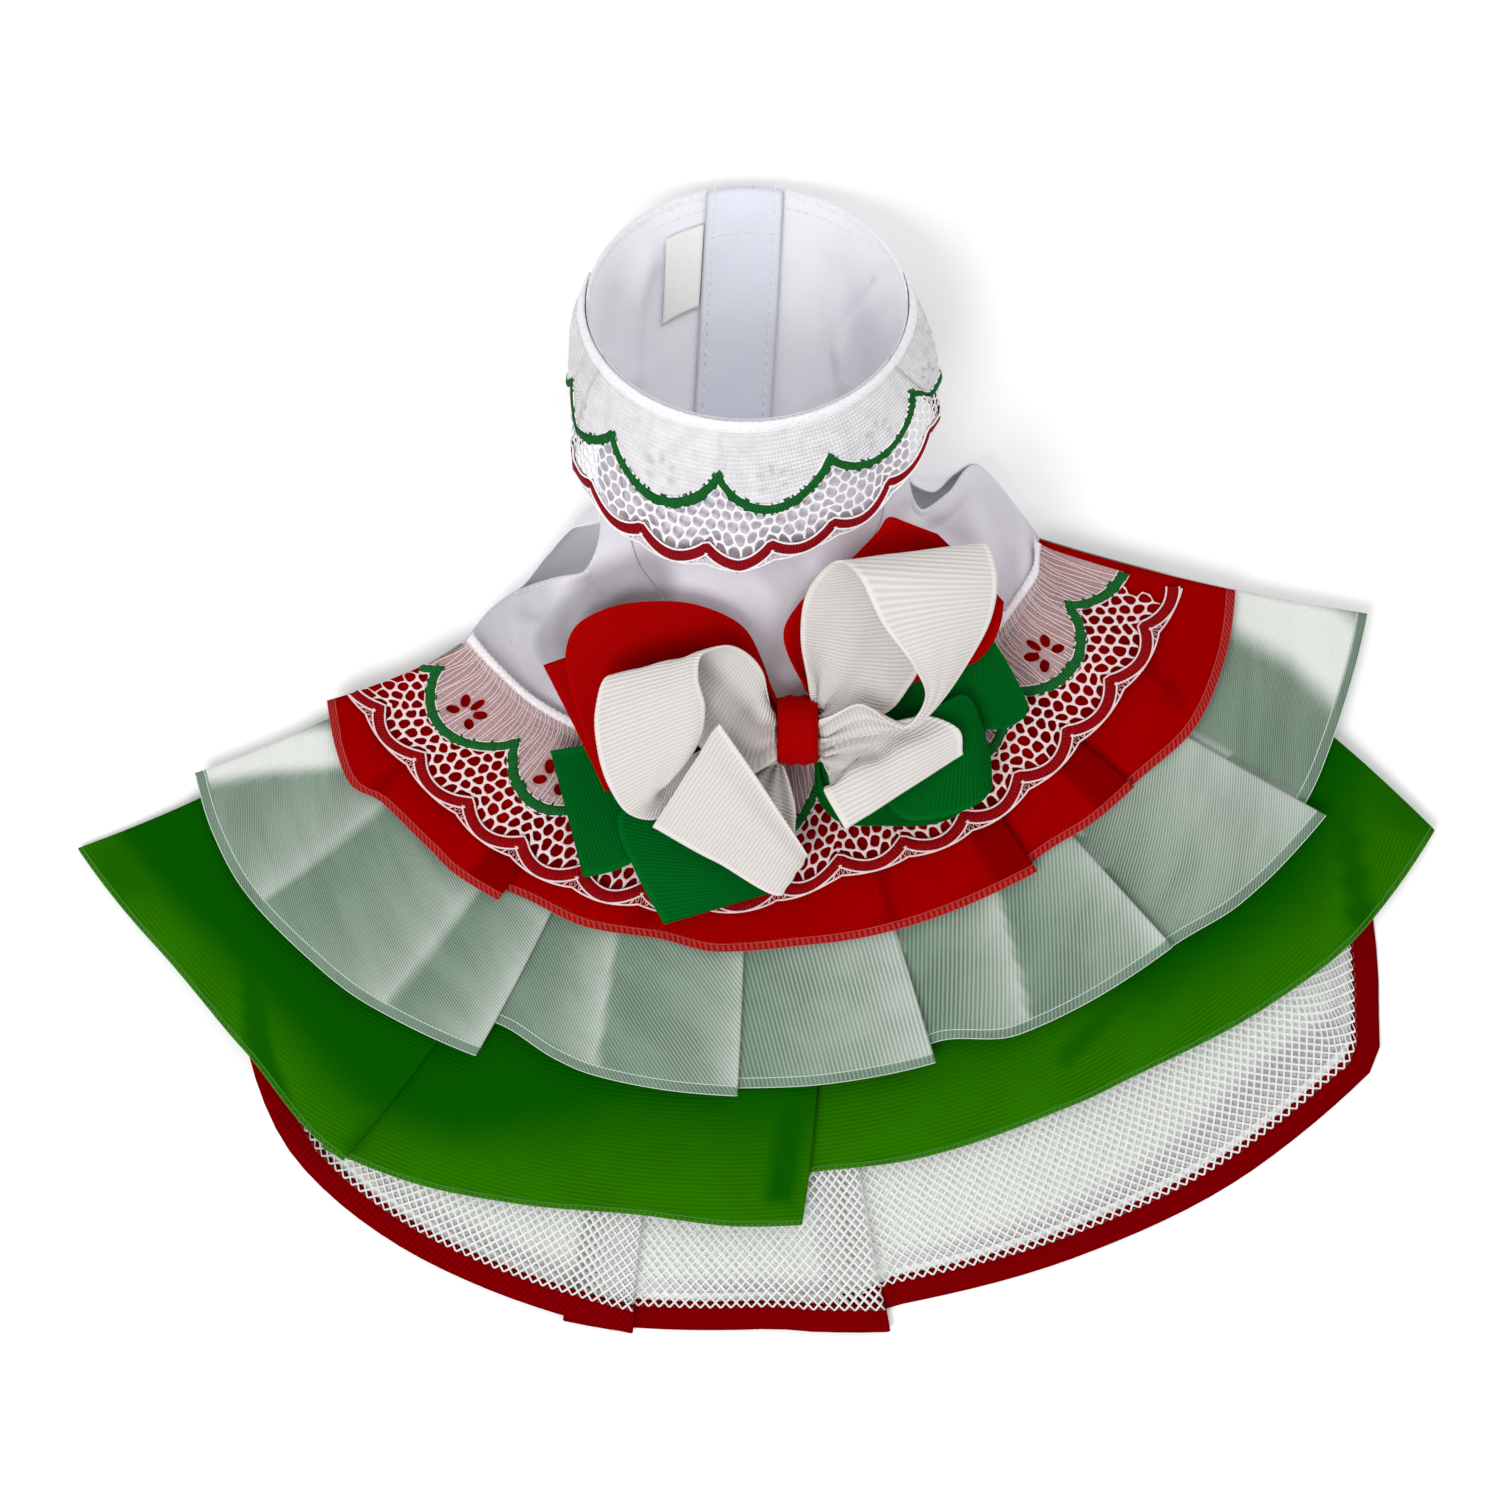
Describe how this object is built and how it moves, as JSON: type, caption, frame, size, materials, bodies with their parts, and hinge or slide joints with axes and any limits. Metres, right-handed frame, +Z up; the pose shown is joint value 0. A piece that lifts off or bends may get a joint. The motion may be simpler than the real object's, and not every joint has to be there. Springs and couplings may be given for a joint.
{
  "type": "dress",
  "caption": "Small dog's dress in china poblana style, laid belly down: bodice, coloured lace, layered skirt and ribbon bow",
  "frame": {"origin": "on the surface the dress lies on, under the middle of its outline", "axes": "+X to the right across the skirt, +Y from the skirt's hem towards the neck, +Z up from the surface"},
  "size_m": [0.4062, 0.3432, 0.0711],
  "materials": {
    "poplin_white": "matt woven cotton poplin",
    "lace_white": "knitted lace with green and red satin thread",
    "label_white": "smooth woven label tape, blank",
    "organza_red": "sheer crisp organza with a soft sheen",
    "organza_white": "sheer crisp organza with a soft sheen",
    "organza_green": "sheer crisp organza with a soft sheen",
    "net_white": "open diamond net over fine white tulle",
    "binding_red": "narrow folded binding tape",
    "grosgrain_white": "ribbed grosgrain ribbon",
    "grosgrain_red": "ribbed grosgrain ribbon",
    "grosgrain_green": "ribbed grosgrain ribbon"
  },
  "bodies": {
    "root": {"back_centre": "poplin_white", "side_left": "poplin_white", "side_right": "poplin_white", "chest_left": "poplin_white", "chest_right": "poplin_white", "placket": "poplin_white", "care_label": "label_white", "neck_lace": "lace_white", "waist_lace": "lace_white", "ruffle_red": "organza_red", "ruffle_white": "organza_white", "ruffle_green": "organza_green", "petticoat_net": "net_white", "petticoat_lining": "net_white", "petticoat_binding": "binding_red", "bow_green_loop_left": "grosgrain_green", "bow_green_tail_left": "grosgrain_green", "bow_green_tail_right": "grosgrain_green", "bow_green_loop_right": "grosgrain_green", "bow_red_tail_left": "grosgrain_red", "bow_red_loop_left": "grosgrain_red", "bow_red_loop_right": "grosgrain_red", "bow_white_loop_left": "grosgrain_white", "bow_white_loop_right": "grosgrain_white", "bow_white_tail_left": "grosgrain_white", "bow_white_tail_right": "grosgrain_white", "bow_knot": "grosgrain_red"}
  },
  "joints": []
}
